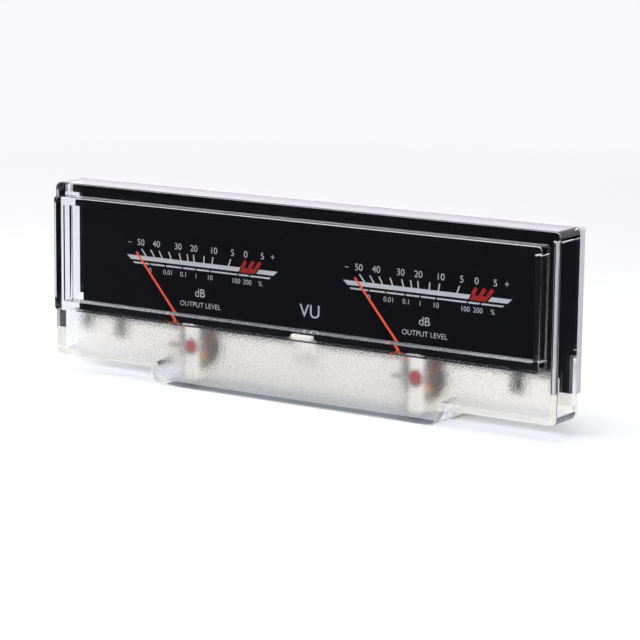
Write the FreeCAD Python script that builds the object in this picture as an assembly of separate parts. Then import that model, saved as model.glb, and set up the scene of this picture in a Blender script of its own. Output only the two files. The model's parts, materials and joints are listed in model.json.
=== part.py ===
"""Double panel meter: two moving-coil movements behind one wide black dial, in a clear moulded case.

Millimetres. X runs to the right along the panel, Y runs back from the panel into the case, Z is up. The
origin lies on the front face that the panel seats on, midway between the two pointer axes and level
with them. Each sub-part is written as its own STEP file in parts/.
"""

import FreeCAD
import Part
import math
import os

from FreeCAD import Vector

# Case outline, seen from the front
case_width = 134.0
case_height = 41.2
case_corner_radius = 1.5
pivot_height = 5.3
tab_width = 77.6
tab_drop = 3.8
tab_corner_radius = 3.0
tab_root_radius = 0.8

# Clear front cover
cover_depth = 8.6
cover_top_wall = 2.2
cover_side_wall = 2.1
cover_floor_wall = 1.4
tab_wall = 1.1
cover_plate = 2.0
cover_edge_radius = 0.5
inner_corner_radius = 0.5
window_rise = 3.7
window_wall = 2.0
window_pane = 2.0
window_side_margin = 2.5
window_top_margin = 2.8
window_sill_height = 11.5
window_corner_radius = 0.8
window_edge_radius = 0.35

# Dial plate and light plate
dial_thickness = 0.5
dial_side_inset = 1.3
dial_top_inset = 0.8
seat_gap = 0.05
dial_lower_edge_height = 8.6
dial_leg_width = 3.9
dial_leg_foot_height = 5.6
dial_prong_place = 53.4
dial_prong_width = 3.2
dial_prong_foot_height = 4.3
light_plate_thickness = 1.7
sheet_corner_radius = 0.8

# Movement base, its lid and the centre clip
fit_gap = 0.1
base_panel_thickness = 1.1
base_top_height = 14.4
base_wall = 1.6
base_corner_radius = 1.5
lid_thickness = 1.5
clip_width = 5.4
clip_reach = 2.2
clip_thickness = 1.2
clip_top_height = 11.3
clip_root_height = 7.0

# Rear cover, lamp board and lamps
rear_cover_depth = 5.0
rear_cover_wall = 1.4
rear_cover_inset = 3.0
rear_cover_corner_radius = 3.0
rear_cover_step_radius = 0.8
rear_cover_foot_height = 6.4
cover_boss_place = 20.0
cover_boss_radius = 2.4
cover_boss_rise = 2.6
board_end_inset = 12.0
board_depth = 3.2
board_thickness = 1.0
lamp_count = 5
lamp_spacing = 22.0
lamp_length = 3.5
lamp_depth = 2.0
lamp_height = 1.4
lamp_lens_radius = 0.8

# Movement: fixed magnet system
pivot_spacing = 60.5
yoke_outer_radius = 6.3
yoke_bore_radius = 5.2
yoke_length = 6.3
yoke_gap_width = 1.6
bore_margin = 0.6
socket_clearance = 0.05
socket_wall = 1.05
core_radius = 3.7
core_length = 5.2
core_flat_depth = 0.35
core_chamfer = 0.3
bracket_disc_thickness = 1.0
bracket_rim_wall = 0.8
core_post_radius = 0.6
core_post_place = 2.7

# Movement: bridge, bearings and hairsprings
bridge_width = 3.6
bridge_thickness = 1.0
bridge_front = 4.9
bridge_rise = 5.6
bridge_foot_length = 1.6
bridge_foot_place = 6.3
bridge_fillet = 0.4
jewel_screw_radius = 1.2
jewel_screw_length = 1.5
jewel_clearance = 0.05
seal_radius = 1.6
seal_height = 0.5
regulator_thickness = 0.3
regulator_ring_radius = 2.0
regulator_arm_length = 6.2
regulator_arm_width = 1.0
regulator_stud_radius = 0.2
rear_screw_radius = 0.9
rear_screw_reach = 0.2
rear_screw_head_radius = 1.5
rear_screw_head_thickness = 0.6
screw_slot_width = 0.3
screw_slot_depth = 0.3
spring_pitch = 0.52
spring_half_turns = 5
spring_strip = 0.09
spring_width = 0.25
spring_side_gap = 0.07
spring_plane_gap = 0.95
stop_radius = 0.22
stop_place = 1.85
stop_length = 1.1
stop_gap_angle = 1.5

# Movement: moving system
rest_angle = 40.3
sweep_angle = 84.0
coil_side_place = 4.0
coil_frame_thickness = 0.2
coil_frame_width = 2.2
winding_thickness = 0.65
winding_width = 1.8
winding_corner_radius = 0.6
coil_end_gap = 0.25
coil_front_gap = 0.35
coil_back_gap = 0.7
staff_radius = 0.3
staff_seat_radius = 0.9
staff_seat_thickness = 0.2
pivot_tip_clearance = 0.05
cup_radius = 0.45
cup_depth = 0.5
hub_radius = 0.9
hub_thickness = 0.6
collet_gap = 0.05
collet_width = 0.35
pointer_plane = 6.5
pointer_thickness = 0.3
pointer_root_width = 0.46
pointer_tip_width = 0.32
pointer_length = 26.6
tail_width = 0.7
tail_length = 3.4
weight_radius = 1.1
weight_front_gap = 0.2
pointer_density = 2.7
weight_density = 8.5

# Screws and contact pins
screw_head_radius = 1.5
screw_head_thickness = 0.9
screw_shank_radius = 0.75
screw_length = 5.0
lid_screw_place = 14.0
pin_radius = 0.4
pin_shank_width = 1.1
pin_shoulder = 0.3
pin_reach = 4.2
pin_offset = 5.2
pin_drop = 5.6
pin_fit = 0.02
screw_access_gap = 1.0
screw_boss_wall = 1.2
lamp_pin_inset = 4.0
lamp_pin_gap = 2.54

# Levels that follow from the sizes above
case_half = case_width / 2
case_bottom = -pivot_height
case_top = case_bottom + case_height
tab_half = tab_width / 2
tab_bottom = case_bottom - tab_drop
window_half = case_half - window_side_margin
window_top = case_top - window_top_margin
window_bottom = case_bottom + window_sill_height
dial_front = cover_depth + seat_gap
dial_back = dial_front + dial_thickness
dial_half = case_half - dial_side_inset
dial_bottom = case_bottom + dial_lower_edge_height
dial_leg_foot = case_bottom + dial_leg_foot_height
dial_leg_inner = dial_half - dial_leg_width
light_plate_back = dial_back + light_plate_thickness
base_top = case_bottom + base_top_height
panel_back = dial_front + base_panel_thickness
panel_top = dial_bottom - fit_gap
yoke_front = panel_back
yoke_back = yoke_front + yoke_length
winding_front = dial_back + coil_front_gap
frame_front = winding_front + winding_thickness
core_front = frame_front + coil_frame_thickness + coil_end_gap
core_back = core_front + core_length
frame_back = core_back + coil_end_gap + coil_frame_thickness
winding_back = frame_back + winding_thickness
bracket_front = winding_back + coil_back_gap
lid_front = bracket_front + bracket_disc_thickness
lid_back = lid_front + lid_thickness
socket_radius = yoke_outer_radius + socket_clearance
socket_outer_radius = socket_radius + socket_wall
rear_cover_front = light_plate_back
rear_cover_back = rear_cover_front + rear_cover_depth
rear_cover_half = case_half - rear_cover_inset
rear_cover_top = case_top - rear_cover_inset
rear_cover_foot = case_bottom + rear_cover_foot_height
bridge_back = bridge_front + bridge_thickness
bridge_bottom = -(bridge_foot_place + bridge_foot_length)
screw_front = bridge_front - regulator_thickness
screw_back = screw_front + jewel_screw_length
front_tip = screw_back - cup_depth + pivot_tip_clearance
rear_screw_front = bracket_front - rear_screw_reach
rear_tip = rear_screw_front + cup_depth - pivot_tip_clearance
pointer_back = pointer_plane + pointer_thickness
front_spring_plane = pointer_back + spring_plane_gap
rear_spring_plane = winding_back + rear_screw_reach
spring_end_place = bridge_width / 2 + regulator_stud_radius + spring_side_gap
spring_inner_radius = spring_end_place - spring_pitch * (2 * spring_half_turns - 1) / 4
collet_radius = spring_inner_radius - spring_pitch / 4 - spring_strip / 2 - collet_gap
board_half = rear_cover_half - board_end_inset
board_top = rear_cover_top - rear_cover_wall
board_bottom = board_top - board_thickness


def arc_corner(before, corner, after, radius):
    """Start, middle and end of the arc that rounds one corner of an outline."""
    to_before = (before - corner).normalize()
    to_after = (after - corner).normalize()
    half_angle = to_before.getAngle(to_after) / 2
    reach = radius / math.tan(half_angle)
    centre = corner + (to_before + to_after).normalize() * (radius / math.sin(half_angle))
    start = corner + to_before * reach
    end = corner + to_after * reach
    middle = centre + (corner - centre).normalize() * radius
    return start, middle, end


def outline_face(corners, y):
    """Flat face at depth y, from corners given as (x, z, radius) in order."""
    points = [Vector(x, y, z) for x, z, radius in corners]
    edges = []
    ends = []
    for index, (x, z, radius) in enumerate(corners):
        before = points[index - 1]
        after = points[(index + 1) % len(points)]
        if radius > 0:
            start, middle, end = arc_corner(before, points[index], after, radius)
            ends.append((start, end, Part.Arc(start, middle, end).toShape()))
        else:
            ends.append((points[index], points[index], None))
    for index, (start, end, arc) in enumerate(ends):
        if arc:
            edges.append(arc)
        following = ends[(index + 1) % len(ends)][0]
        if (following - end).Length > 1e-6:
            edges.append(Part.LineSegment(end, following).toShape())
    return Part.Face(Part.Wire(edges))


def prism(corners, y_front, y_back):
    """Outline carried back from y_front to y_back."""
    return outline_face(corners, y_front).extrude(Vector(0, y_back - y_front, 0))


def slab(x_low, x_high, z_low, z_high, y_front, y_back, radius=0.0):
    """Rectangular plate or block with its four long edges rounded."""
    corners = [(x_low, z_low, radius), (x_high, z_low, radius), (x_high, z_high, radius), (x_low, z_high, radius)]
    return prism(corners, y_front, y_back)


def rod(radius, y_front, y_back, x=0.0, z=0.0):
    """Round bar along Y."""
    return Part.makeCylinder(radius, y_back - y_front, Vector(x, y_front, z), Vector(0, 1, 0))


def cone(radius_front, radius_back, y_front, y_back):
    """Cone about the Y axis."""
    return Part.makeCone(radius_front, radius_back, y_back - y_front, Vector(0, y_front, 0), Vector(0, 1, 0))


def edges_at(shape, y, keep):
    """Edges that lie wholly at depth y and whose box passes the test keep(box)."""
    found = []
    for edge in shape.Edges:
        box = edge.BoundBox
        if abs(box.YMin - y) < 1e-5 and abs(box.YMax - y) < 1e-5 and keep(box):
            found.append(edge)
    return found


def case_outline(side_wall, top_wall, floor_wall, foot_wall):
    """Case and tab as one outline, moved in by the walls of the sides, the top, the floor and the tab."""
    half = case_half - side_wall
    low = case_bottom + floor_wall
    high = case_top - top_wall
    foot = tab_bottom + foot_wall
    tab = tab_half - foot_wall
    corner = max(case_corner_radius - side_wall, inner_corner_radius)
    foot_corner = max(tab_corner_radius - foot_wall, inner_corner_radius)
    return [
        (-half, low, corner),
        (-tab, low, tab_root_radius),
        (-tab, foot, foot_corner),
        (tab, foot, foot_corner),
        (tab, low, tab_root_radius),
        (half, low, corner),
        (half, high, corner),
        (-half, high, corner),
    ]


def front_cover():
    """One clear moulding: walls, front plate, raised hollow window and foot tab."""
    body = prism(case_outline(0.0, 0.0, 0.0, 0.0), 0.0, cover_depth)
    window = slab(
        -window_half, window_half, window_bottom, window_top, -window_rise, cover_plate, window_corner_radius
    )
    body = body.fuse(window).removeSplitter()
    rim = edges_at(body, 0.0, lambda box: not inside_window(box))
    body = body.makeFillet(cover_edge_radius, rim)
    lens_rim = edges_at(body, -window_rise, lambda box: True)
    body = body.makeFillet(window_edge_radius, lens_rim)
    inner = case_outline(cover_side_wall, cover_top_wall, cover_floor_wall, tab_wall)
    room = prism(inner, cover_plate, cover_depth)
    lens_room = slab(
        window_wall - window_half,
        window_half - window_wall,
        window_bottom + window_wall,
        window_top - window_wall,
        window_pane - window_rise,
        cover_plate + fit_gap,
        window_edge_radius,
    )
    return body.cut(room.fuse(lens_room))


def inside_window(box):
    """True for an edge that belongs to the foot of the raised window."""
    within_x = box.XMin > -window_half - 1e-3 and box.XMax < window_half + 1e-3
    within_z = box.ZMin > window_bottom - 1e-3 and box.ZMax < window_top + 1e-3
    return within_x and within_z


def sheet_corners(half, top, leg_inner):
    """Dial or light plate: wide plate whose lower edge carries a leg at each end."""
    return [
        (-half, dial_leg_foot, 0.0),
        (-leg_inner, dial_leg_foot, 0.0),
        (-leg_inner, dial_bottom, 0.0),
        (leg_inner, dial_bottom, 0.0),
        (leg_inner, dial_leg_foot, 0.0),
        (half, dial_leg_foot, 0.0),
        (half, top, sheet_corner_radius),
        (-half, top, sheet_corner_radius),
    ]


def dial_plate():
    """Black plate with end legs and two locating prongs that drop into the base."""
    plate = prism(sheet_corners(dial_half, case_top - dial_top_inset, dial_leg_inner), dial_front, dial_back)
    for side in (-1, 1):
        middle = side * dial_prong_place
        low = case_bottom + dial_prong_foot_height
        prong = slab(
            middle - dial_prong_width / 2, middle + dial_prong_width / 2, low, dial_bottom, dial_front, dial_back
        )
        plate = plate.fuse(prong)
    return plate.removeSplitter()


def light_plate():
    """Opal plate behind the dial that spreads the lamp light, cut away round both movements."""
    plate = prism(sheet_corners(case_half, case_top, dial_leg_inner), dial_back, light_plate_back)
    for side in (-1, 1):
        notch = rod(socket_outer_radius + 3 * fit_gap, dial_back, light_plate_back, side * pivot_spacing / 2)
        plate = plate.cut(notch)
    return plate


def panel_corners():
    """Front panel of the base: strip under the dial, with the tab below it."""
    low_shelf = dial_leg_foot - fit_gap
    inner = dial_leg_inner - fit_gap
    return [
        (-case_half, case_bottom, case_corner_radius),
        (-tab_half, case_bottom, tab_root_radius),
        (-tab_half, tab_bottom, tab_corner_radius),
        (tab_half, tab_bottom, tab_corner_radius),
        (tab_half, case_bottom, tab_root_radius),
        (case_half, case_bottom, case_corner_radius),
        (case_half, low_shelf, 0.0),
        (inner, low_shelf, 0.0),
        (inner, panel_top, 0.0),
        (-inner, panel_top, 0.0),
        (-inner, low_shelf, 0.0),
        (-case_half, low_shelf, 0.0),
    ]


def box_slab(inset, top, y_front, y_back):
    """Block with the outline of the base's rear box."""
    half = tab_half - inset
    low = tab_bottom + inset
    foot_radius = tab_corner_radius - inset
    corners = [(-half, low, foot_radius), (half, low, foot_radius)]
    corners += [(half, top - inset, base_corner_radius), (-half, top - inset, base_corner_radius)]
    return prism(corners, y_front, y_back)


def movement_base():
    """Cream moulding under and behind the dial: panel, box, two round sockets, centre clip."""
    behind_sheet = light_plate_back + fit_gap
    base = prism(panel_corners(), dial_front, panel_back)
    shell = box_slab(0.0, base_top, panel_back, lid_front)
    above_panel = slab(-case_half, case_half, panel_top, case_top, panel_back, behind_sheet)
    shell = shell.cut(above_panel)
    base = base.fuse(shell.cut(box_slab(base_wall, base_top, panel_back, lid_front)))
    base = base.fuse(centre_clip())
    for side in (-1, 1):
        middle = side * pivot_spacing / 2
        base = base.fuse(rod(socket_outer_radius, panel_back, lid_front, middle))
        base = base.fuse(rod(screw_shank_radius + screw_boss_wall, panel_back, lid_front, side * lid_screw_place))
    for side in (-1, 1):
        middle = side * pivot_spacing / 2
        base = base.cut(rod(socket_radius, panel_back, lid_front, middle))
        base = base.cut(rod(yoke_bore_radius + bore_margin, dial_front, panel_back, middle))
        base = base.cut(rod(screw_shank_radius, lid_back - screw_length, lid_front, side * lid_screw_place))
        low = case_bottom + dial_prong_foot_height - fit_gap
        reach = dial_prong_width / 2 + fit_gap
        place = side * dial_prong_place
        base = base.cut(slab(place - reach, place + reach, low, panel_top, dial_front, panel_back))
    return base.removeSplitter()


def centre_clip():
    """Hook that reaches under the dial's lower edge and up in front of it."""
    half = clip_width / 2
    root = case_bottom + clip_root_height
    top = case_bottom + clip_top_height
    front = dial_front - clip_reach
    shelf = slab(-half, half, root, panel_top, front, dial_front)
    finger = slab(-half, half, root, top, front, front + clip_thickness)
    tip = edges_at(finger, front, lambda box: box.ZMin > top - 1e-3)
    return shelf.fuse(finger.makeFillet(bridge_fillet, tip))


def base_lid():
    """Plate that closes the base's box and carries the contact pins and the rear cover's ears."""
    lid = box_slab(0.0, base_top, lid_front, lid_back)
    for side in (-1, 1):
        middle = side * pivot_spacing / 2
        boss = side * cover_boss_place
        ear = slab(
            boss - cover_boss_radius,
            boss + cover_boss_radius,
            base_top - base_wall,
            base_top + 2 * cover_boss_radius,
            lid_front,
            lid_back,
            base_wall - fit_gap,
        )
        lid = lid.fuse(ear)
        lid = lid.cut(rod(screw_shank_radius + fit_gap, lid_front, lid_back, boss, cover_boss_height()))
        lid = lid.cut(rod(screw_shank_radius + fit_gap, lid_front, lid_back, side * lid_screw_place))
        lid = lid.cut(rod(rear_screw_head_radius + screw_access_gap, lid_front, lid_back, middle))
        for x, z in movement_pins(middle):
            lid = lid.cut(pin_shank(pin_fit, lid_front, lid_back, x, z))
    return lid.removeSplitter()


def cover_boss_height():
    """Height of the two screws that hold the rear cover to the lid."""
    return base_top + cover_boss_radius


def rear_cover_outline(inset):
    """Tray that covers the light plate above and on both sides of the base."""
    half = rear_cover_half - inset
    high = rear_cover_top - inset
    low = rear_cover_foot + inset
    step_x = tab_half + 4 * fit_gap + inset
    step_z = base_top + 4 * fit_gap + inset
    outer = rear_cover_corner_radius - inset
    step = rear_cover_step_radius + inset
    return [
        (-half, low, outer),
        (-step_x, low, rear_cover_step_radius),
        (-step_x, step_z, step),
        (step_x, step_z, step),
        (step_x, low, rear_cover_step_radius),
        (half, low, outer),
        (half, high, outer),
        (-half, high, outer),
    ]


def rear_cover():
    """White tray that reflects the lamp light forward, with two screw bosses behind."""
    cover = prism(rear_cover_outline(0.0), rear_cover_front, rear_cover_back)
    rear_edges = edges_at(cover, rear_cover_back, lambda box: True)
    cover = cover.makeFillet(cover_edge_radius, rear_edges)
    cover = cover.cut(prism(rear_cover_outline(rear_cover_wall), rear_cover_front, rear_cover_back - rear_cover_wall))
    for side in (-1, 1):
        boss = side * cover_boss_place
        height = cover_boss_height()
        cover = cover.fuse(rod(cover_boss_radius - 2 * fit_gap, rear_cover_back - fit_gap, lid_front, boss, height))
        pilot_front = lid_back - screw_length
        cover = cover.cut(rod(screw_shank_radius, pilot_front, lid_front, boss, height))
    for x, z in lamp_pin_places():
        cover = cover.cut(pin_shank(pin_fit, rear_cover_back - rear_cover_wall, rear_cover_back, x, z))
    return cover.removeSplitter()


def lamp_board():
    """Strip board under the top wall of the rear cover."""
    back = rear_cover_back - rear_cover_wall
    corner = Vector(-board_half, back - board_depth, board_bottom)
    return Part.makeBox(2 * board_half, board_depth, board_thickness, corner)


def lamps():
    """Row of small lamps under the board, each with a domed lens."""
    row = []
    middle_y = rear_cover_back - rear_cover_wall - board_depth / 2
    for index in range(lamp_count):
        x = (index - (lamp_count - 1) / 2) * lamp_spacing
        corner = Vector(x - lamp_length / 2, middle_y - lamp_depth / 2, board_bottom - lamp_height)
        body = Part.makeBox(lamp_length, lamp_depth, lamp_height, corner)
        lens = Part.makeSphere(lamp_lens_radius, Vector(x, middle_y, board_bottom - lamp_height))
        row.append(body.fuse(lens).removeSplitter())
    return Part.makeCompound(row)


def lamp_pin_places():
    """Where the two lamp pins leave the rear cover."""
    height = board_bottom + board_thickness / 2
    place = board_half - lamp_pin_inset
    return [(place, height), (place - lamp_pin_gap, height)]


def lamp_pins():
    """Two pins from the back edge of the lamp board."""
    start = rear_cover_back - rear_cover_wall
    return Part.makeCompound([contact_pin(start, rear_cover_back, x, z) for x, z in lamp_pin_places()])


def pin_shank(clearance, y_front, y_back, x, z):
    """Square shank of a contact pin, or the hole for it when a clearance is given."""
    reach = pin_shank_width / 2 + clearance
    return slab(x - reach, x + reach, z - reach, z + reach, y_front, y_back)


def contact_pin(y_front, y_face, x, z):
    """Square held shank that stands just proud of y_face, then the round free end with its taper."""
    end = lid_back + pin_reach
    taper = pin_radius
    shoulder = y_face + pin_shoulder
    held = pin_shank(0.0, y_front, shoulder, x, z)
    shaft = rod(pin_radius, shoulder, end - taper, x, z)
    point = Part.makeCone(pin_radius, pin_radius / 2, taper, Vector(x, end - taper, z), Vector(0, 1, 0))
    return held.fuse(shaft).fuse(point).removeSplitter()


def movement_pins(middle):
    """Where the two coil pins of the movement at x = middle stand."""
    return [(middle - pin_offset, -pin_drop), (middle + pin_offset, -pin_drop)]


def coil_pins(middle):
    """Two contact pins of one movement, held in the lid."""
    return Part.makeCompound([contact_pin(lid_front, lid_back, x, z) for x, z in movement_pins(middle)])


def slotted_screw(head_radius, head_thickness, shank_radius, shank_length, seat, x=0.0, z=0.0):
    """Screw driven in from behind: head behind the seat, shank in front of it."""
    back = seat + head_thickness
    head = rod(head_radius, seat, back, x, z)
    head = head.makeChamfer(head_thickness / 3, edges_at(head, back, lambda box: True))
    shank = rod(shank_radius, seat - shank_length, seat, x, z)
    half = screw_slot_width / 2
    slot = slab(x - head_radius, x + head_radius, z - half, z + half, back - screw_slot_depth, back)
    return head.fuse(shank).cut(slot)


def case_screws():
    """Two screws into the base and two into the rear cover's bosses, all through the lid."""
    group = []
    shank = screw_shank_radius - socket_clearance
    reach = screw_length - fit_gap
    for side in (-1, 1):
        for x, z in ((side * lid_screw_place, 0.0), (side * cover_boss_place, cover_boss_height())):
            group.append(slotted_screw(screw_head_radius, screw_head_thickness, shank, reach, lid_back, x, z))
    return Part.makeCompound(group)


def yoke_ring():
    """Soft iron ring round the core, split at the bottom so that it springs into its socket."""
    ring = rod(yoke_outer_radius, yoke_front, yoke_back).cut(rod(yoke_bore_radius, yoke_front, yoke_back))
    half = yoke_gap_width / 2
    return ring.cut(slab(-half, half, -yoke_outer_radius, 0.0, yoke_front, yoke_back))


def core_magnet():
    """Round core magnet with two flats that mark its poles and a chamfer on both rims."""
    core = rod(core_radius, core_front, core_back)
    rims = edges_at(core, core_front, lambda box: True) + edges_at(core, core_back, lambda box: True)
    core = core.makeChamfer(core_chamfer, rims)
    for side in (-1, 1):
        low = side * (core_radius - core_flat_depth)
        high = side * core_radius
        core = core.cut(slab(-core_radius, core_radius, min(low, high), max(low, high), core_front, core_back))
    return core


def core_bracket():
    """Brass cup behind the yoke: seat for the ring, two posts for the core, thread for the rear screw."""
    disc = rod(yoke_outer_radius, bracket_front, lid_front)
    rim = rod(yoke_outer_radius, yoke_back, bracket_front).cut(
        rod(yoke_outer_radius - bracket_rim_wall, yoke_back, bracket_front)
    )
    cup = disc.fuse(rim)
    for side in (-1, 1):
        cup = cup.fuse(rod(core_post_radius, core_back, bracket_front, 0.0, side * core_post_place))
    stud = rod(regulator_stud_radius, rear_spring_plane, bracket_front, -spring_end_place, regulator_stud_radius)
    return cup.fuse(stud).cut(rod(rear_screw_radius, bracket_front, lid_front)).removeSplitter()


def front_bridge():
    """Cream arm in front of the coil: foot on the base panel, bearing boss, two pointer stops."""
    half = bridge_width / 2
    arm = slab(-half, half, bridge_bottom, bridge_rise, bridge_front, bridge_back, bridge_fillet)
    top_edge = edges_at(arm, bridge_front, lambda box: box.ZMin > bridge_rise - bridge_fillet - 1e-3)
    arm = arm.makeFillet(bridge_fillet, top_edge)
    foot = slab(-half, half, bridge_bottom, bridge_bottom + bridge_foot_length, bridge_front, dial_front, bridge_fillet)
    arm = arm.fuse(foot)
    spread = math.degrees((pointer_root_width / 2 + stop_radius) / stop_place) + stop_gap_angle
    for angle in (-rest_angle - spread, sweep_angle - rest_angle + spread):
        x = stop_place * math.sin(math.radians(angle))
        z = stop_place * math.cos(math.radians(angle))
        arm = arm.fuse(rod(stop_radius, bridge_front + bridge_fillet, bridge_back + stop_length, x, z))
    return arm.cut(rod(jewel_screw_radius, bridge_front, bridge_back)).removeSplitter()


def front_jewel_screw():
    """Threaded bearing with a conical cup that the front pivot turns in."""
    body = rod(jewel_screw_radius, screw_front, screw_back)
    return body.cut(cone(0.0, cup_radius, screw_back - cup_depth, screw_back))


def seal_drop():
    """Drop of red lacquer that locks the bearing and the regulator."""
    sphere_radius = (seal_radius ** 2 + seal_height ** 2) / (2 * seal_height)
    centre = screw_front - seal_height + sphere_radius
    ball = Part.makeSphere(sphere_radius, Vector(0, centre, 0))
    return ball.common(rod(seal_radius, screw_front - seal_height - fit_gap, screw_front))


def regulator():
    """Flat zero-setting arm round the bearing, with a stud that holds the front hairspring."""
    back = bridge_front
    ring = rod(regulator_ring_radius, screw_front, back)
    half = regulator_arm_width / 2
    arm = slab(-regulator_arm_length, 0.0, -half, half, screw_front, back, half - socket_clearance)
    stud_back = front_spring_plane + spring_width
    stud = rod(regulator_stud_radius, screw_front, stud_back, -spring_end_place, regulator_stud_radius)
    lever = ring.fuse(arm).fuse(stud)
    return lever.cut(rod(jewel_screw_radius, screw_front, back)).removeSplitter()


def rear_jewel_screw():
    """Slotted bearing screw at the back, with the rear pivot's cup in its end."""
    shank_length = lid_front - rear_screw_front
    screw = slotted_screw(
        rear_screw_head_radius, rear_screw_head_thickness, rear_screw_radius, shank_length, lid_front
    )
    return screw.cut(cone(cup_radius, 0.0, rear_screw_front, rear_screw_front + cup_depth))


def hairspring(y_front):
    """Flat spiral strip of half-turn arcs, from beside its collet out to its stud."""
    sides = {-1: [], 1: []}
    for index in range(spring_half_turns):
        way = 1 if index % 2 == 0 else -1
        radius = spring_inner_radius + index * spring_pitch / 2
        centre = Vector(-way * spring_pitch / 4, y_front, 0)
        for edge, arcs in sides.items():
            reach = way * (radius + edge * spring_strip / 2)
            start = centre + Vector(reach, 0, 0)
            middle = centre - Vector(0, 0, reach)
            end = centre - Vector(reach, 0, 0)
            arcs.append(Part.Arc(start, middle, end))
    inner, outer = sides.values()
    edges = [arc.toShape() for arc in inner + outer]
    edges.append(Part.LineSegment(inner[0].StartPoint, outer[0].StartPoint).toShape())
    edges.append(Part.LineSegment(inner[-1].EndPoint, outer[-1].EndPoint).toShape())
    return Part.Face(Part.Wire(Part.__sortEdges__(edges))).extrude(Vector(0, spring_width, 0))


def to_rest(shape):
    """Turn a moving piece from straight up to where the pointer rests."""
    shape.rotate(Vector(0, 0, 0), Vector(0, 1, 0), -rest_angle)
    return shape


def coil_loop(half_outer, half_inner, front_outer, front_inner, back_inner, back_outer, width, radius):
    """Rectangular loop round the core, its sides in the air gap."""
    low = Vector(-half_outer, front_outer, -width / 2)
    block = Part.makeBox(2 * half_outer, back_outer - front_outer, width, low)
    if radius > 0:
        upright = [edge for edge in block.Edges if edge.BoundBox.ZLength > width / 2]
        block = block.makeFillet(radius, upright)
    low = Vector(-half_inner, front_inner, -width / 2)
    return block.cut(Part.makeBox(2 * half_inner, back_inner - front_inner, width, low))


def coil_frame():
    """Thin aluminium frame that the winding lies on."""
    outer = coil_side_place + coil_frame_thickness
    front_inner = frame_front + coil_frame_thickness
    back_inner = frame_back - coil_frame_thickness
    return coil_loop(outer, coil_side_place, frame_front, front_inner, back_inner, frame_back, coil_frame_width, 0.0)


def coil_winding():
    """Copper winding round the frame."""
    inner = coil_side_place + coil_frame_thickness
    outer = inner + winding_thickness
    return coil_loop(
        outer, inner, winding_front, frame_front, frame_back, winding_back, winding_width, winding_corner_radius
    )


def front_staff():
    """Steel pivot on the front of the coil, long enough to carry hub and collet."""
    seat = rod(staff_seat_radius, winding_front - staff_seat_thickness, winding_front)
    tip_length = staff_radius / cup_radius * cup_depth
    stem = rod(staff_radius, front_tip + tip_length, winding_front)
    return seat.fuse(stem).fuse(cone(0.0, staff_radius, front_tip, front_tip + tip_length)).removeSplitter()


def rear_staff():
    """Short steel pivot on the back of the coil."""
    seat = rod(staff_seat_radius / 2, winding_back, winding_back + staff_seat_thickness / 2)
    tip_length = staff_radius / cup_radius * cup_depth
    stem = rod(staff_radius, winding_back, rear_tip - tip_length)
    return seat.fuse(stem).fuse(cone(staff_radius, 0.0, rear_tip - tip_length, rear_tip)).removeSplitter()


def spring_collets():
    """Brass rings on both staffs, inside the inner ends of the two hairsprings."""
    rings = []
    front_place = front_spring_plane - (collet_width - spring_width) / 2
    rear_place = rear_spring_plane + spring_width - collet_width
    for front in (front_place, rear_place):
        back = front + collet_width
        rings.append(rod(collet_radius, front, back).cut(rod(staff_radius, front, back)))
    return Part.makeCompound(rings)


def pointer():
    """Tapered needle and short tail on one flat blade, with a round hub on the staff."""
    root = pointer_root_width / 2
    tip = pointer_tip_width / 2
    tail = tail_width / 2
    blade = prism(
        [(-root, 0.0, 0.0), (root, 0.0, 0.0), (tip, pointer_length, 0.0), (-tip, pointer_length, 0.0)],
        pointer_plane,
        pointer_back,
    )
    blade = blade.fuse(slab(-tail, tail, -tail_length, 0.0, pointer_plane, pointer_back))
    middle = (pointer_plane + pointer_back) / 2
    hub_front = middle - hub_thickness / 2
    blade = blade.fuse(rod(hub_radius, hub_front, hub_front + hub_thickness))
    return blade.cut(rod(staff_radius, hub_front, hub_front + hub_thickness)).removeSplitter()


def counterweight():
    """Brass weight on the tail, as long as it must be to balance the needle."""
    needle_area = (pointer_root_width + pointer_tip_width) / 2 * pointer_length
    tilt = (pointer_root_width + 2 * pointer_tip_width) / (3 * (pointer_root_width + pointer_tip_width))
    needle_moment = needle_area * pointer_length * tilt * pointer_thickness * pointer_density
    tail_moment = tail_width * tail_length ** 2 / 2 * pointer_thickness * pointer_density
    length = (needle_moment - tail_moment) / (math.pi * weight_radius ** 2 * tail_length * weight_density)
    return rod(weight_radius, pointer_back, pointer_back + length, 0.0, -tail_length)


def movement(name, middle):
    """All pieces of one movement, set at x = middle."""
    fixed = {
        "yoke_ring": yoke_ring(),
        "core_magnet": core_magnet(),
        "core_bracket": core_bracket(),
        "front_bridge": front_bridge(),
        "front_jewel_screw": front_jewel_screw(),
        "rear_jewel_screw": rear_jewel_screw(),
        "red_seal": seal_drop(),
        "zero_regulator": regulator(),
        "front_hairspring": hairspring(front_spring_plane),
        "rear_hairspring": hairspring(rear_spring_plane),
    }
    moving = {
        "pointer": pointer(),
        "counterweight": counterweight(),
        "coil_frame": coil_frame(),
        "coil_winding": coil_winding(),
        "front_staff": front_staff(),
        "rear_staff": rear_staff(),
        "spring_collets": spring_collets(),
    }
    pieces = dict(fixed)
    pieces.update({node: to_rest(shape) for node, shape in moving.items()})
    placed = {}
    for node, shape in pieces.items():
        shape.translate(Vector(middle, 0, 0))
        placed[node + "_" + name] = shape
    placed["coil_pins_" + name] = coil_pins(middle)
    return placed


def write(pieces):
    """One STEP file for each node."""
    os.makedirs("parts", exist_ok=True)
    for node, shape in pieces.items():
        shape.exportStep("parts/" + node + ".step")
        box = shape.BoundBox
        print(f"{node}: {len(shape.Solids)} solid(s), {shape.Volume:.2f} mm3, y {box.YMin:.2f} to {box.YMax:.2f}")
    print(f"Least gap between two turns of a hairspring: {spring_pitch - spring_strip:.2f} mm")


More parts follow.
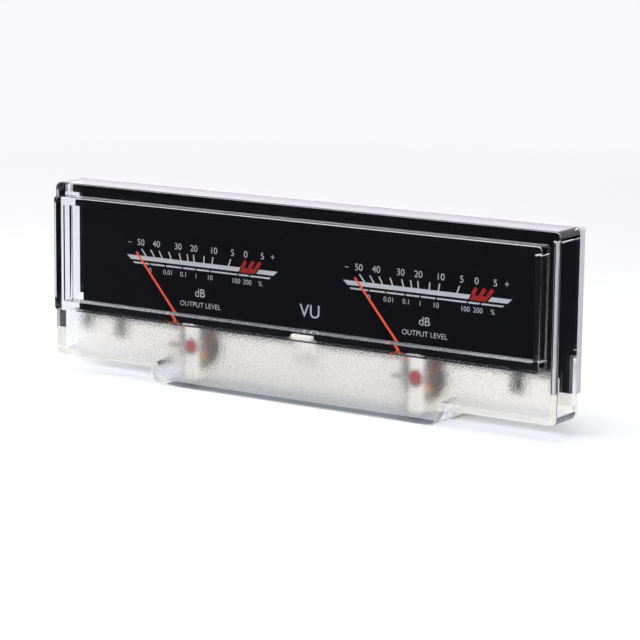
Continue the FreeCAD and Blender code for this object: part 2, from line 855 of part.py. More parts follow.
def main():
    pieces = {
        "front_cover": front_cover(),
        "dial_plate": dial_plate(),
        "light_plate": light_plate(),
        "movement_base": movement_base(),
        "base_lid": base_lid(),
        "rear_cover": rear_cover(),
        "lamp_board": lamp_board(),
        "lamps": lamps(),
        "lamp_pins": lamp_pins(),
        "case_screws": case_screws(),
    }
    pieces.update(movement("left", -pivot_spacing / 2))
    pieces.update(movement("right", pivot_spacing / 2))
    write(pieces)


main()
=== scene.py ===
# %% [markdown]
# A double panel meter: two red pointers swing over one black dial, behind a clear moulded cover. The
# CAD model already has every solid. This file dresses it: clear plastic that truly bends light, the
# printed scales, and the small finishes inside the movements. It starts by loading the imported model.

# %% Load the model
import bpy
import json
import math
from mathutils import Matrix, Vector


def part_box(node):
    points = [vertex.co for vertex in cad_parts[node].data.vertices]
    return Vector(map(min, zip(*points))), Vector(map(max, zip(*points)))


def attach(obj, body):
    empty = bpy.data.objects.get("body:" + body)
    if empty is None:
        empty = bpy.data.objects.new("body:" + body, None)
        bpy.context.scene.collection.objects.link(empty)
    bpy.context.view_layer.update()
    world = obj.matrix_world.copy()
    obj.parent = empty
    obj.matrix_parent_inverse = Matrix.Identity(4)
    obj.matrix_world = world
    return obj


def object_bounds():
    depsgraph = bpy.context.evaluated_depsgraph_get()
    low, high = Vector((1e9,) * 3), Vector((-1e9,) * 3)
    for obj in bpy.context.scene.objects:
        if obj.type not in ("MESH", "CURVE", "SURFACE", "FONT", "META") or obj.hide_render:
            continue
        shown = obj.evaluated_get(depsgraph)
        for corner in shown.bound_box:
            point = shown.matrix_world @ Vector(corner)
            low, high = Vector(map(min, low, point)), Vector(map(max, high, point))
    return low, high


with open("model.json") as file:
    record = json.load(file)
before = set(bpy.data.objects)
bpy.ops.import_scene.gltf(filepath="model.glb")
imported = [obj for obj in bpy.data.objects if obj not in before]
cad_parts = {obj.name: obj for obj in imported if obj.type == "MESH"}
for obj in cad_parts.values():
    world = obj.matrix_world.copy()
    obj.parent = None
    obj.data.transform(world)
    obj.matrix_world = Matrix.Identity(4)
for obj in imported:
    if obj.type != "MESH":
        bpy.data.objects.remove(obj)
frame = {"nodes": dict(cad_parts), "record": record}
cad_box = [list(corner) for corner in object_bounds()]
nodes = frame["nodes"]
MM = 0.001
print("nodes loaded:", len(nodes))

# %% [markdown]
# The camera looks from the right and a little above, through a long lens, as the photograph does. Its
# direction comes from two angles and a small roll, and its place from a point on the meter and a
# distance, so each number can be read and changed on its own.

# %% Camera at the photograph's viewing angle
CAMERA_YAW = math.radians(33.17)
CAMERA_PITCH = math.radians(10.47)
CAMERA_ROLL = math.radians(0.63)
CAMERA_DISTANCE = 545.7 * MM
CAMERA_TARGET = Vector((7.85, 0.0, 11.03)) * MM
CAMERA_LENS = 139.1


def aim_camera(camera):
    """Place the camera by its angles, distance and target point."""
    forward = Vector((
        -math.sin(CAMERA_YAW) * math.cos(CAMERA_PITCH),
        math.cos(CAMERA_YAW) * math.cos(CAMERA_PITCH),
        -math.sin(CAMERA_PITCH),
    ))
    right = Vector((math.cos(CAMERA_YAW), math.sin(CAMERA_YAW), 0.0))
    up = right.cross(forward)
    level = Matrix((right, up, -forward)).transposed()
    turn = Matrix.Rotation(CAMERA_ROLL, 3, "Z")
    place = Matrix.Translation(CAMERA_TARGET - forward * CAMERA_DISTANCE)
    camera.matrix_world = place @ (level @ turn).to_4x4()


camera_data = bpy.data.cameras.new("camera")
camera_data.lens = CAMERA_LENS
camera_data.sensor_width = 36.0
camera_data.clip_start = 0.01
camera = bpy.data.objects.new("camera", camera_data)
bpy.context.scene.collection.objects.link(camera)
aim_camera(camera)
bpy.context.scene.camera = camera
print("camera lens:", camera_data.lens)

# %% [markdown]
# Clear plastic shows what stands around it, so the surroundings matter as much as the plastic. The
# world is one even pale colour, brighter where it is looked at than where it lights the meter. The
# floor is pale near the meter and fades into the world's colour, so that no horizon shows.

# %% World and floor
scene = bpy.context.scene
scene.view_settings.view_transform = "Standard"
WORLD_COLOUR = (0.945, 0.935, 0.97, 1.0)
WORLD_LIGHT = 0.62
WORLD_SEEN = 1.0
FLOOR_COLOUR = (0.86, 0.87, 0.88, 1.0)
FLOOR_LEVEL = cad_box[0][2]
FLOOR_ROUGHNESS = 0.7
FLOOR_GLOSS = 0.2
FADE_START = 0.10
FADE_END = 0.55


def node_tree(owner):
    """Switch an owner's nodes on and return its tree, emptied."""
    owner.use_nodes = True
    owner.node_tree.nodes.clear()
    return owner.node_tree


def add_node(tree, kind, **inputs):
    """Add one shader node and set its named inputs."""
    node = tree.nodes.new(kind)
    for name, value in inputs.items():
        node.inputs[name.replace("_", " ")].default_value = value
    return node


def link_or(tree, first, second):
    """One value that is 1 where either of two Light Path values is."""
    either = add_node(tree, "ShaderNodeMath")
    either.operation = "MAXIMUM"
    tree.links.new(first, either.inputs[0])
    tree.links.new(second, either.inputs[1])
    return either.outputs[0]


world = bpy.data.worlds.new("studio")
scene.world = world
world_tree = node_tree(world)
world_light = add_node(world_tree, "ShaderNodeBackground", Color=WORLD_COLOUR, Strength=WORLD_LIGHT)
world_seen = add_node(world_tree, "ShaderNodeBackground", Color=WORLD_COLOUR, Strength=WORLD_SEEN)
world_path = world_tree.nodes.new("ShaderNodeLightPath")
world_mix = world_tree.nodes.new("ShaderNodeMixShader")
world_out = world_tree.nodes.new("ShaderNodeOutputWorld")
seen = link_or(
    world_tree, world_path.outputs["Is Camera Ray"], world_path.outputs["Is Glossy Ray"]
)
seen = link_or(world_tree, seen, world_path.outputs["Is Transmission Ray"])
world_tree.links.new(seen, world_mix.inputs[0])
world_tree.links.new(world_light.outputs[0], world_mix.inputs[1])
world_tree.links.new(world_seen.outputs[0], world_mix.inputs[2])
world_tree.links.new(world_mix.outputs[0], world_out.inputs["Surface"])


def flat_mesh(name, corners, faces):
    """Mesh object at the origin from corners in metres."""
    mesh = bpy.data.meshes.new(name)
    mesh.from_pydata(corners, [], faces)
    mesh.update()
    made = bpy.data.objects.new(name, mesh)
    scene.collection.objects.link(made)
    return made


FLOOR_REACH = 3.0
QUARTERS = ((-1, -1), (1, -1), (1, 1), (-1, 1))
floor = flat_mesh(
    "floor",
    [(x * FLOOR_REACH, y * FLOOR_REACH, FLOOR_LEVEL) for x, y in QUARTERS],
    [(0, 1, 2, 3)],
)
floor_material = bpy.data.materials.new("pale_floor")
floor_tree = node_tree(floor_material)
floor_shader = add_node(
    floor_tree,
    "ShaderNodeBsdfPrincipled",
    Base_Color=FLOOR_COLOUR,
    Roughness=FLOOR_ROUGHNESS,
    Specular_IOR_Level=FLOOR_GLOSS,
)
floor_haze = add_node(floor_tree, "ShaderNodeEmission", Color=WORLD_COLOUR)
floor_place = floor_tree.nodes.new("ShaderNodeTexCoord")
floor_reach = floor_tree.nodes.new("ShaderNodeVectorMath")
floor_reach.operation = "LENGTH"
floor_fade = add_node(floor_tree, "ShaderNodeMapRange")
floor_fade.inputs["From Min"].default_value = FADE_START
floor_fade.inputs["From Max"].default_value = FADE_END
floor_path = floor_tree.nodes.new("ShaderNodeLightPath")
floor_far = add_node(floor_tree, "ShaderNodeMath")
floor_far.operation = "MULTIPLY"
floor_mix = floor_tree.nodes.new("ShaderNodeMixShader")
floor_out = floor_tree.nodes.new("ShaderNodeOutputMaterial")
floor_tree.links.new(floor_place.outputs["Object"], floor_reach.inputs[0])
floor_tree.links.new(floor_reach.outputs["Value"], floor_fade.inputs["Value"])
floor_tree.links.new(floor_fade.outputs["Result"], floor_far.inputs[0])
floor_tree.links.new(floor_path.outputs["Is Camera Ray"], floor_far.inputs[1])
floor_tree.links.new(floor_far.outputs[0], floor_mix.inputs[0])
floor_tree.links.new(floor_shader.outputs[0], floor_mix.inputs[1])
floor_tree.links.new(floor_haze.outputs[0], floor_mix.inputs[2])
floor_tree.links.new(floor_mix.outputs[0], floor_out.inputs["Surface"])
floor.data.materials.append(floor_material)
print("floor level:", round(FLOOR_LEVEL / MM, 2), "mm")

# %% [markdown]
# A photographer lays cards where glossy faces would mirror the wrong thing. The window mirrors the
# floor in front of it and the right side the floor behind it to the right: both get black cards. A
# third black card stands upright in front, for the inner faces of the clear bands. The top mirrors
# what stands far behind to the left, and gets a white one. The camera never sees a card straight:
# they show only in reflections and through the plastic, and the white one in reflections alone.

# %% Cards
CARD_LIFT = 0.2 * MM


def card_paint(name, colour, strength):
    """Even self-lit paint, so that a card looks the same wherever it stands."""
    material = bpy.data.materials.new(name)
    tree = node_tree(material)
    glow = add_node(tree, "ShaderNodeEmission", Color=(*colour, 1.0), Strength=strength)
    out = tree.nodes.new("ShaderNodeOutputMaterial")
    tree.links.new(glow.outputs[0], out.inputs["Surface"])
    return material


black_paint = card_paint("black_card", (0.8, 0.8, 1.0), 0.014)
white_paint = card_paint("white_card", (0.97, 0.94, 1.0), 1.55)


def add_card(name, corners, paint):
    """Card that only glossy and transmitted rays can meet."""
    made = flat_mesh(name, corners, [(0, 1, 2, 3)])
    made.data.materials.append(paint)
    made.visible_camera = False
    made.visible_diffuse = False
    made.visible_shadow = False
    return made


def floor_card(name, left, right, near, far):
    """Black card that lies on the floor between these limits, in metres."""
    height = FLOOR_LEVEL + CARD_LIFT
    corners = [(left, near, height), (right, near, height), (right, far, height), (left, far, height)]
    return add_card(name, corners, black_paint)


def upright_card(name, left, right, depth, low, high, paint):
    """Card that stands across the view at one depth, between these limits, in metres."""
    corners = [(left, depth, low), (right, depth, low), (right, depth, high), (left, depth, high)]
    return add_card(name, corners, paint)


cards = (
    floor_card("window_card", left=-0.75, right=0.75, near=-0.60, far=-0.07),
    floor_card("side_card", left=0.075, right=0.60, near=0.035, far=0.60),
    upright_card("top_card", -1.0, -0.2, depth=0.9, low=0.06, high=0.4, paint=white_paint),
    upright_card("front_card", -1.8, 0.3, depth=-0.9, low=0.0, high=0.9, paint=black_paint),
)
cards[2].visible_transmission = False
print("cards laid:", len(cards))

# %% [markdown]
# Three soft lamps give the edges their bright lines: a large one above, one in front to the right and
# a weak one on the left. Each is a square that faces the meter.

# %% Lamps


def add_lamp(name, place, target, size, power):
    """Square soft lamp at a place, facing a target, sizes in metres and power in watts."""
    data = bpy.data.lights.new(name, "AREA")
    data.size = size
    data.energy = power
    lamp = bpy.data.objects.new(name, data)
    scene.collection.objects.link(lamp)
    lamp.location = place
    lamp.rotation_euler = (Vector(target) - Vector(place)).to_track_quat("-Z", "Y").to_euler()
    return lamp


METER_MIDDLE = (0.0, 0.0, 0.01)
add_lamp("top_lamp", (0.0, -0.15, 0.7), (0.0, 0.0, 0.0), size=0.6, power=3.2)
add_lamp("front_lamp", (0.55, -0.55, 0.35), METER_MIDDLE, size=0.35, power=2.3)
add_lamp("side_lamp", (-0.6, -0.1, 0.3), METER_MIDDLE, size=0.3, power=1.0)

# %% [markdown]
# Many pieces are moulded plastic, whose skin is never quite even. One node group gives a faint change
# of colour and a fine grain, and each plastic feeds it its own colour and amounts.

# %% Shared effect: moulded skin
ROUGHNESS_SPREAD = 0.12
MOTTLE_SIZE = 120.0
GRAIN_SIZE = 6000.0


def group_socket(group, name, kind, direction, value=None):
    """Add one named socket to a node group."""
    socket = group.interface.new_socket(name=name, in_out=direction, socket_type=kind)
    if value is not None:
        socket.default_value = value
    return socket


def make_moulded_skin():
    """Node group: colour with soft mottling, roughness with it, and a fine grain as a height."""
    group = bpy.data.node_groups.new("moulded_skin", "ShaderNodeTree")
    group_socket(group, "Colour", "NodeSocketColor", "INPUT", (0.8, 0.8, 0.8, 1.0))
    group_socket(group, "Shade", "NodeSocketColor", "INPUT", (0.6, 0.6, 0.6, 1.0))
    group_socket(group, "Roughness", "NodeSocketFloat", "INPUT", 0.4)
    group_socket(group, "Mottle Size", "NodeSocketFloat", "INPUT", MOTTLE_SIZE)
    group_socket(group, "Grain Size", "NodeSocketFloat", "INPUT", GRAIN_SIZE)
    group_socket(group, "Colour", "NodeSocketColor", "OUTPUT")
    group_socket(group, "Roughness", "NodeSocketFloat", "OUTPUT")
    group_socket(group, "Height", "NodeSocketFloat", "OUTPUT")
    given = group.nodes.new("NodeGroupInput")
    made = group.nodes.new("NodeGroupOutput")
    place = group.nodes.new("ShaderNodeTexCoord")
    mottle = group.nodes.new("ShaderNodeTexNoise")
    grain = group.nodes.new("ShaderNodeTexNoise")
    blend = group.nodes.new("ShaderNodeMix")
    blend.data_type = "RGBA"
    rough = group.nodes.new("ShaderNodeMath")
    rough.operation = "MULTIPLY_ADD"
    rough.inputs[1].default_value = ROUGHNESS_SPREAD
    link = group.links.new
    link(place.outputs["Object"], mottle.inputs["Vector"])
    link(place.outputs["Object"], grain.inputs["Vector"])
    link(given.outputs["Mottle Size"], mottle.inputs["Scale"])
    link(given.outputs["Grain Size"], grain.inputs["Scale"])
    link(mottle.outputs["Fac"], blend.inputs["Factor"])
    link(given.outputs["Colour"], blend.inputs["A"])
    link(given.outputs["Shade"], blend.inputs["B"])
    link(grain.outputs["Fac"], rough.inputs[0])
    link(given.outputs["Roughness"], rough.inputs[2])
    link(blend.outputs["Result"], made.inputs["Colour"])
    link(rough.outputs[0], made.inputs["Roughness"])
    link(grain.outputs["Fac"], made.inputs["Height"])
    return group


moulded_skin = make_moulded_skin()
print("group sockets:", len(moulded_skin.interface.items_tree))

# %% [markdown]
# Each finish is one row of numbers. Colour and shade are the two ends of the mottling. Bump is the
# depth of the grain and gloss the strength of the reflection, each given only where it isn't usual.

# %% Materials that use it
GRAIN_DEPTH = 0.02 * MM


def skinned_material(
    name, colour, shade, roughness, bump=0.05, metallic=0.0, mottle=MOTTLE_SIZE, gloss=0.5
):
    """Principled material whose colour, roughness and grain come from the moulded skin group."""
    material = bpy.data.materials.new(name)
    tree = node_tree(material)
    shader = add_node(
        tree, "ShaderNodeBsdfPrincipled", Metallic=metallic, Specular_IOR_Level=gloss
    )
    skin = tree.nodes.new("ShaderNodeGroup")
    skin.node_tree = moulded_skin
    skin.inputs["Colour"].default_value = (*colour, 1.0)
    skin.inputs["Shade"].default_value = (*shade, 1.0)
    skin.inputs["Roughness"].default_value = roughness
    skin.inputs["Mottle Size"].default_value = mottle
    skin.inputs["Grain Size"].default_value = GRAIN_SIZE
    relief = add_node(tree, "ShaderNodeBump", Strength=bump, Distance=GRAIN_DEPTH)
    out = tree.nodes.new("ShaderNodeOutputMaterial")
    tree.links.new(skin.outputs["Colour"], shader.inputs["Base Color"])
    tree.links.new(skin.outputs["Roughness"], shader.inputs["Roughness"])
    tree.links.new(skin.outputs["Height"], relief.inputs["Height"])
    tree.links.new(relief.outputs["Normal"], shader.inputs["Normal"])
    tree.links.new(shader.outputs[0], out.inputs["Surface"])
    return material


FINISH_NUMBERS = {
    "dial_black": {
        "colour": (0.0035, 0.0035, 0.0045), "shade": (0.006, 0.006, 0.008),
        "roughness": 0.6, "bump": 0.0, "gloss": 0.04,
    },
    "opal_plastic": {"colour": (0.60, 0.585, 0.63), "shade": (0.54, 0.53, 0.57), "roughness": 0.2},
    "cream_plastic": {
        "colour": (0.90, 0.875, 0.80), "shade": (0.87, 0.84, 0.765),
        "roughness": 0.38,
    },
    "white_plastic": {"colour": (0.82, 0.82, 0.82), "shade": (0.76, 0.77, 0.78), "roughness": 0.35},
    "board": {"colour": (0.02, 0.10, 0.05), "shade": (0.015, 0.07, 0.035), "roughness": 0.35},
    "lamp_lens": {"colour": (0.86, 0.82, 0.60), "shade": (0.80, 0.75, 0.5), "roughness": 0.15},
    "pin_metal": {
        "colour": (0.75, 0.74, 0.70), "shade": (0.66, 0.65, 0.6),
        "roughness": 0.25, "metallic": 1.0,
    },
    "steel": {
        "colour": (0.62, 0.62, 0.64), "shade": (0.5, 0.5, 0.52),
        "roughness": 0.3, "metallic": 1.0,
    },
    "soft_iron": {
        "colour": (0.16, 0.165, 0.19), "shade": (0.12, 0.12, 0.14),
        "roughness": 0.35, "metallic": 0.8,
    },
    "magnet": {
        "colour": (0.3, 0.3, 0.31), "shade": (0.22, 0.22, 0.23),
        "roughness": 0.4, "metallic": 1.0,
    },
    "brass": {
        "colour": (0.62, 0.47, 0.18), "shade": (0.5, 0.36, 0.13),
        "roughness": 0.3, "metallic": 1.0,
    },
    "red_lacquer": {
        "colour": (0.40, 0.004, 0.014), "shade": (0.32, 0.003, 0.01),
        "roughness": 0.15,
    },
    "spring_bronze": {
        "colour": (0.5, 0.25, 0.1), "shade": (0.42, 0.2, 0.08),
        "roughness": 0.3, "metallic": 1.0,
    },
    "pointer_red": {
        "colour": (0.82, 0.11, 0.06), "shade": (0.76, 0.09, 0.05),
        "roughness": 0.4, "gloss": 0.2,
    },
    "nickel": {
        "colour": (0.52, 0.50, 0.46), "shade": (0.42, 0.40, 0.37),
        "roughness": 0.35, "metallic": 1.0,
    },
    "aluminium": {
        "colour": (0.75, 0.76, 0.78), "shade": (0.65, 0.66, 0.68),
        "roughness": 0.3, "metallic": 1.0,
    },
    "copper": {
        "colour": (0.45, 0.12, 0.05), "shade": (0.3, 0.07, 0.03),
        "roughness": 0.3, "metallic": 0.7,
    },
}
finishes = {name: skinned_material(name, **numbers) for name, numbers in FINISH_NUMBERS.items()}
print("finishes:", ", ".join(finishes))

# %% [markdown]
# The cover is clear plastic. Its faces are polished, but the inside of the lower band is textured, so
# the movements behind it show only as soft shapes. The roughness is therefore chosen by place: the
# inner face of the front plate is rough and pitted below the window, and smooth everywhere else.

# %% Clear plastic
CLEAR_IOR = 1.49
FROST_TOP = 6.6 * MM
FROST_FACE = 2.0 * MM
FROST_FACE_SLACK = 0.05 * MM
FROST_EDGE = 0.6 * MM
FROST_ROUGHNESS = 0.23
FROST_PITS = 3800.0
FROST_PIT_DEPTH = 0.14 * MM
CLEAR_COLOUR = (0.99, 0.992, 1.0, 1.0)
CLEAR_SHADOW = (0.92, 0.93, 0.95, 1.0)


def frost_mask(tree):
    """The place on the piece, and a mask: 1 on the lower inner face of the plate, 0 elsewhere."""
    place = tree.nodes.new("ShaderNodeTexCoord")
    split = tree.nodes.new("ShaderNodeSeparateXYZ")
    near = add_node(tree, "ShaderNodeMath")
    near.operation = "COMPARE"
    near.inputs[1].default_value = FROST_FACE
    near.inputs[2].default_value = FROST_FACE_SLACK
    low = add_node(tree, "ShaderNodeMapRange")
    low.inputs["From Min"].default_value = FROST_TOP
    low.inputs["From Max"].default_value = FROST_TOP - FROST_EDGE
    both = add_node(tree, "ShaderNodeMath")
    both.operation = "MULTIPLY"
    tree.links.new(place.outputs["Object"], split.inputs[0])
    tree.links.new(split.outputs["Y"], near.inputs[0])
    tree.links.new(split.outputs["Z"], low.inputs["Value"])
    tree.links.new(near.outputs[0], both.inputs[0])
    tree.links.new(low.outputs["Result"], both.inputs[1])
    return place.outputs["Object"], both.outputs[0]


def clear_material(name):
    """Clear plastic that lets lamp light through; its lower inner face is rough and finely pitted."""
    material = bpy.data.materials.new(name)
    tree = node_tree(material)
    glass = add_node(
        tree, "ShaderNodeBsdfPrincipled", Base_Color=CLEAR_COLOUR, Roughness=0.0, IOR=CLEAR_IOR
    )
    glass.inputs["Transmission Weight"].default_value = 1.0
    open_way = add_node(tree, "ShaderNodeBsdfTransparent", Color=CLEAR_SHADOW)
    path = tree.nodes.new("ShaderNodeLightPath")
    mix = tree.nodes.new("ShaderNodeMixShader")
    out = tree.nodes.new("ShaderNodeOutputMaterial")
    place, mask = frost_mask(tree)
    rough = add_node(tree, "ShaderNodeMath")
    rough.operation = "MULTIPLY"
    rough.inputs[1].default_value = FROST_ROUGHNESS
    pits = add_node(tree, "ShaderNodeTexNoise", Scale=FROST_PITS, Detail=1.0)
    depth = add_node(tree, "ShaderNodeMath")
    depth.operation = "MULTIPLY"
    relief = add_node(tree, "ShaderNodeBump", Strength=1.0, Distance=FROST_PIT_DEPTH)
    tree.links.new(mask, rough.inputs[0])
    tree.links.new(rough.outputs[0], glass.inputs["Roughness"])
    tree.links.new(place, pits.inputs["Vector"])
    tree.links.new(pits.outputs["Fac"], depth.inputs[0])
    tree.links.new(mask, depth.inputs[1])
    tree.links.new(depth.outputs[0], relief.inputs["Height"])
    tree.links.new(relief.outputs["Normal"], glass.inputs["Normal"])
    tree.links.new(path.outputs["Is Shadow Ray"], mix.inputs[0])
    tree.links.new(glass.outputs[0], mix.inputs[1])
    tree.links.new(open_way.outputs[0], mix.inputs[2])
    tree.links.new(mix.outputs[0], out.inputs["Surface"])
    return material


clear_cover = clear_material("clear_cover")
print("clear material:", clear_cover.name)

# %% [markdown]
# The record says which material slot each node has. A node whose slot has no row above is the clear
# cover, and the two zero-setting arms get nickel instead of their slot's brass.

# %% Give every node its finish
record_slots = {entry["node"]: entry["material_slot"] for entry in frame["record"]["subparts"]}
for name, thing in nodes.items():
    finish = finishes.get(record_slots[name], clear_cover)
    if name.startswith("zero_regulator"):
        finish = finishes["nickel"]
    thing.data.materials.clear()
    thing.data.materials.append(finish)
print("nodes with a finish:", len(nodes))

# %% [markdown]
# The dial's print is white and red ink. It is made as flat pieces just in front of the black plate,
# because real edges stay sharp at any distance. Both halves carry the same scale.

# %% Print on the dial
PIVOT_X = (-30.25 * MM, 30.25 * MM)
PRINT_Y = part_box("dial_plate")[0].y - 0.02 * MM
CAPITAL_SHARE = 0.70
INK_SPREAD = -0.012
INK_SHADE = 0.9
INK_ROUGHNESS = 0.5
INK_MOTTLE = 900.0
print("print lies at y =", round(PRINT_Y * 1000, 3), "mm")


def ink_material(name, colour):
    """Printing ink: matt, with the faint unevenness of a screen print."""
    shade = tuple(part * INK_SHADE for part in colour)
    return skinned_material(name, colour, shade, INK_ROUGHNESS, bump=0.02, mottle=INK_MOTTLE)


white_ink = ink_material("white_ink", (0.55, 0.56, 0.59))
red_ink = ink_material("red_ink", (0.33, 0.004, 0.007))


def dial_print(name, corners, faces, ink):
    """Flat piece of ink that rides on the dial."""
    made = flat_mesh(name, corners, faces)
    made.data.materials.append(ink)
    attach(made, "case")
    return made


def print_shape(name, outlines, ink):
    """Flat print on the dial from outlines, each a list of (x, z) in millimetres."""
    corners = []
    faces = []
    for outline in outlines:
        first = len(corners)
        corners += [(x * MM, PRINT_Y, z * MM) for x, z in outline]
        faces.append(tuple(range(first, first + len(outline))))
    return dial_print(name, corners, faces, ink)


def print_words(name, words, ink):
    """Lettering on the dial: each entry is (text, middle x, middle z, height of a capital in mm)."""
    corners = []
    faces = []
    for text, x, z, height in words:
        curve = bpy.data.curves.new(name, "FONT")
        curve.body = text
        curve.size = height / CAPITAL_SHARE
        curve.align_x = "CENTER"
        curve.offset = INK_SPREAD
        letters = bpy.data.objects.new(name, curve)
        scene.collection.objects.link(letters)
        bpy.context.view_layer.update()
        graph = bpy.context.evaluated_depsgraph_get()
        flat = bpy.data.meshes.new_from_object(letters.evaluated_get(graph))
        first = len(corners)
        corners += [((x + v.co.x) * MM, PRINT_Y, (z - height / 2 + v.co.y) * MM) for v in flat.vertices]
        faces += [tuple(first + index for index in face.vertices) for face in flat.polygons]
        bpy.data.objects.remove(letters)
        bpy.data.meshes.remove(flat)
    return dial_print(name, corners, faces, ink)


# %% [markdown]
# Each scale is a straight bar over a thin broken line. Their ends are cut on lines through the
# pointer axis, and a red zone fills the gap in the bar near the right end. Sizes are in millimetres.

# %% Scale bars
BAR_TOP = 19.1
BAR_THICK = 1.0
LINE_TOP = 17.55
LINE_THICK = 0.36
TICK_TOP = 20.75
WHITE_SPANS = ((-21.5, 11.15), (16.35, 21.35))
RED_SPAN = (11.55, 15.9)
RED_THICK = 1.15
LINE_SPAN = (-19.8, 19.5)
LINE_BREAKS = (-14.9, -10.4, -5.4, -1.5, 2.6, 10.5, 13.8)
BREAK_WIDTH = 0.4


def radial_bar(start, end, top, thick):
    """Four corners of a level bar whose ends are cut on lines through the pointer axis."""
    low = top - thick
    return [(start * low / top, low), (end * low / top, low), (end, top), (start, top)]


def broken_line():
    """Pieces of the thin line between its breaks."""
    starts = [LINE_SPAN[0]] + [place + BREAK_WIDTH / 2 for place in LINE_BREAKS]
    ends = [place - BREAK_WIDTH / 2 for place in LINE_BREAKS] + [LINE_SPAN[1]]
    return [radial_bar(start, end, LINE_TOP, LINE_THICK) for start, end in zip(starts, ends)]


def at_both_axes(shapes):
    """The same outlines, set at the left and the right pointer axis."""
    return [[(axis_x / MM + x, z) for x, z in shape] for axis_x in PIVOT_X for shape in shapes]


white_bars = [radial_bar(start, end, BAR_TOP, BAR_THICK) for start, end in WHITE_SPANS] + broken_line()
print_shape("scale_bars", at_both_axes(white_bars), white_ink)
print_shape("red_zone", at_both_axes([radial_bar(*RED_SPAN, BAR_TOP, RED_THICK)]), red_ink)
print("bars on each scale:", len(white_bars))

# %% [markdown]
# Ticks fan out so that each points at the pointer axis. Geometry Nodes place them: each point on the
# bar's top edge gets a thin bar, turned to the point's angle and grown to its length.

# %% Ticks by Geometry Nodes
WHITE_TICKS = (-39.7, -35.0, -30.3, -24.1, -16.8, -10.9, -5.9, 2.4, 9.2, 22.0)
RED_TICKS = (31.2, 35.3, 38.7)
WHITE_TICK_WIDTH = 0.32
RED_TICK_WIDTH = 0.9


def tick_tree():
    """Geometry Nodes: a thin bar on each point, along its angle and as long as its length."""
    tree = bpy.data.node_groups.new("fanned_ticks", "GeometryNodeTree")
    group_socket(tree, "Points", "NodeSocketGeometry", "INPUT")
    group_socket(tree, "Tick Width", "NodeSocketFloat", "INPUT")
    group_socket(tree, "Tick Material", "NodeSocketMaterial", "INPUT")
    group_socket(tree, "Ticks", "NodeSocketGeometry", "OUTPUT")
    given = tree.nodes.new("NodeGroupInput")
    made = tree.nodes.new("NodeGroupOutput")
    angle = tree.nodes.new("GeometryNodeInputNamedAttribute")
    angle.data_type = "FLOAT"
    angle.inputs["Name"].default_value = "angle"
    length = tree.nodes.new("GeometryNodeInputNamedAttribute")
    length.data_type = "FLOAT"
    length.inputs["Name"].default_value = "length"
    bar = tree.nodes.new("GeometryNodeMeshGrid")
    bar.inputs["Size Y"].default_value = 1.0
    bar.inputs["Vertices X"].default_value = 2
    bar.inputs["Vertices Y"].default_value = 2
    upright = tree.nodes.new("GeometryNodeTransform")
    upright.inputs["Translation"].default_value = (0.0, 0.0, 0.5)
    upright.inputs["Rotation"].default_value = (math.pi / 2, 0.0, 0.0)
    turn = tree.nodes.new("ShaderNodeCombineXYZ")
    grow = tree.nodes.new("ShaderNodeCombineXYZ")
    grow.inputs["X"].default_value = 1.0
    grow.inputs["Y"].default_value = 1.0
    place = tree.nodes.new("GeometryNodeInstanceOnPoints")
    real = tree.nodes.new("GeometryNodeRealizeInstances")
    ink = tree.nodes.new("GeometryNodeSetMaterial")
    link = tree.links.new
    link(given.outputs["Tick Width"], bar.inputs["Size X"])
    link(bar.outputs["Mesh"], upright.inputs["Geometry"])
    link(angle.outputs["Attribute"], turn.inputs["Y"])
    link(length.outputs["Attribute"], grow.inputs["Z"])
    link(given.outputs["Points"], place.inputs["Points"])
    link(upright.outputs["Geometry"], place.inputs["Instance"])
    link(turn.outputs["Vector"], place.inputs["Rotation"])
    link(grow.outputs["Vector"], place.inputs["Scale"])
    link(place.outputs["Instances"], real.inputs["Geometry"])
    link(real.outputs["Geometry"], ink.inputs["Geometry"])
    link(given.outputs["Tick Material"], ink.inputs["Material"])
    link(ink.outputs["Geometry"], made.inputs["Ticks"])
    return tree


fanned_ticks = tick_tree()


def baked_nodes(name, points, tree, settings, body):
    """Run a node tree on a point mesh and keep the result as one plain mesh piece."""
    modifier = points.modifiers.new("build", "NODES")
    modifier.node_group = tree
    for socket in tree.interface.items_tree:
        if socket.in_out == "INPUT" and socket.name in settings:
            modifier[socket.identifier] = settings[socket.name]
    graph = bpy.context.evaluated_depsgraph_get()
    mesh = bpy.data.meshes.new_from_object(points.evaluated_get(graph))
    bpy.data.objects.remove(points)
    mesh.name = name
    piece = bpy.data.objects.new(name, mesh)
    scene.collection.objects.link(piece)
    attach(piece, body)
    return piece


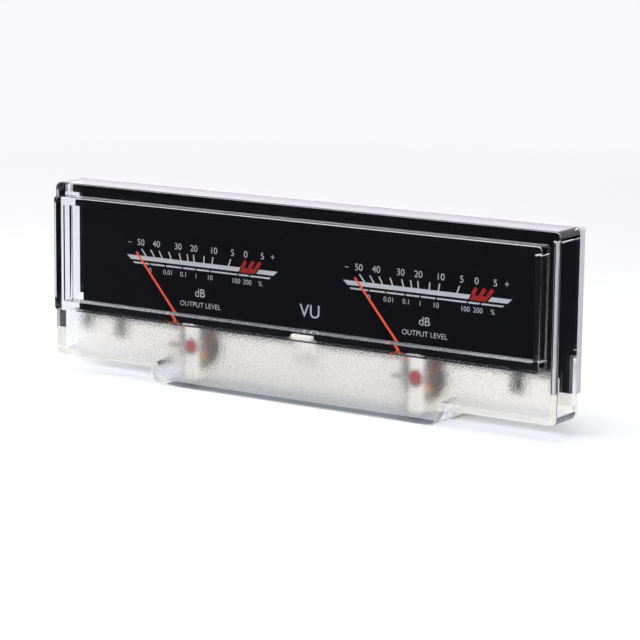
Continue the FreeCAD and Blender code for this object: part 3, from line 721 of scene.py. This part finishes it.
def print_ticks(name, angles, ink, width):
    """Ticks at these angles from straight up, at both pointer axes."""
    corners = []
    turns = []
    lengths = []
    for axis_x in PIVOT_X:
        for angle in angles:
            slope = math.radians(angle)
            corners.append((axis_x + BAR_TOP * MM * math.tan(slope), PRINT_Y, BAR_TOP * MM))
            turns.append(slope)
            lengths.append((TICK_TOP - BAR_TOP) * MM / math.cos(slope))
    points = flat_mesh(name + "_points", corners, [])
    for label, values in (("angle", turns), ("length", lengths)):
        points.data.attributes.new(label, "FLOAT", "POINT").data.foreach_set("value", values)
    settings = {"Tick Width": width * MM, "Tick Material": ink}
    return baked_nodes(name, points, fanned_ticks, settings, "case")


ticks = print_ticks("white_ticks", WHITE_TICKS, white_ink, WHITE_TICK_WIDTH)
red = print_ticks("red_ticks", RED_TICKS, red_ink, RED_TICK_WIDTH)
print("tick faces:", len(ticks.data.polygons), "red:", len(red.data.polygons))

# %% [markdown]
# The numbers are plain ones, as on any level scale. Text starts as a curve and becomes a mesh, and its
# place is added to the mesh's corners, so the piece's object stays at the origin.

# %% Numbers
UPPER_NUMBERS = (
    ("\u2013", -20.6), ("50", -17.43), ("40", -12.88), ("30", -6.6), ("20", -2.06),
    ("10", 3.55), ("5", 8.88), ("0", 12.55), ("5", 17.18), ("+", 20.0),
)
LOWER_NUMBERS = (
    ("0", -14.7), ("0.01", -9.5), ("0.1", -5.0), ("1", -1.45),
    ("10", 2.5), ("100", 9.85), ("200", 13.0), ("%", 16.65),
)
UPPER_LEVEL = 22.3
LOWER_LEVEL = 15.9
UPPER_HEIGHT = 1.52
LOWER_HEIGHT = 1.15
SCALE_WORDS = (("dB", -0.3, 12.0, 1.95), ("OUTPUT LEVEL", -0.2, 9.15, 1.2))
MIDDLE_WORD = ("VU", 0.0, 11.05, 3.0)
words = []
for axis_x in PIVOT_X:
    middle = axis_x / MM
    words += [(text, middle + x, UPPER_LEVEL, UPPER_HEIGHT) for text, x in UPPER_NUMBERS]
    words += [(text, middle + x, LOWER_LEVEL, LOWER_HEIGHT) for text, x in LOWER_NUMBERS]
    words += [(text, middle + x, z, height) for text, x, z, height in SCALE_WORDS]
words.append(MIDDLE_WORD)
numbers = print_words("numbers", words, white_ink)
print("number faces:", len(numbers.data.polygons))
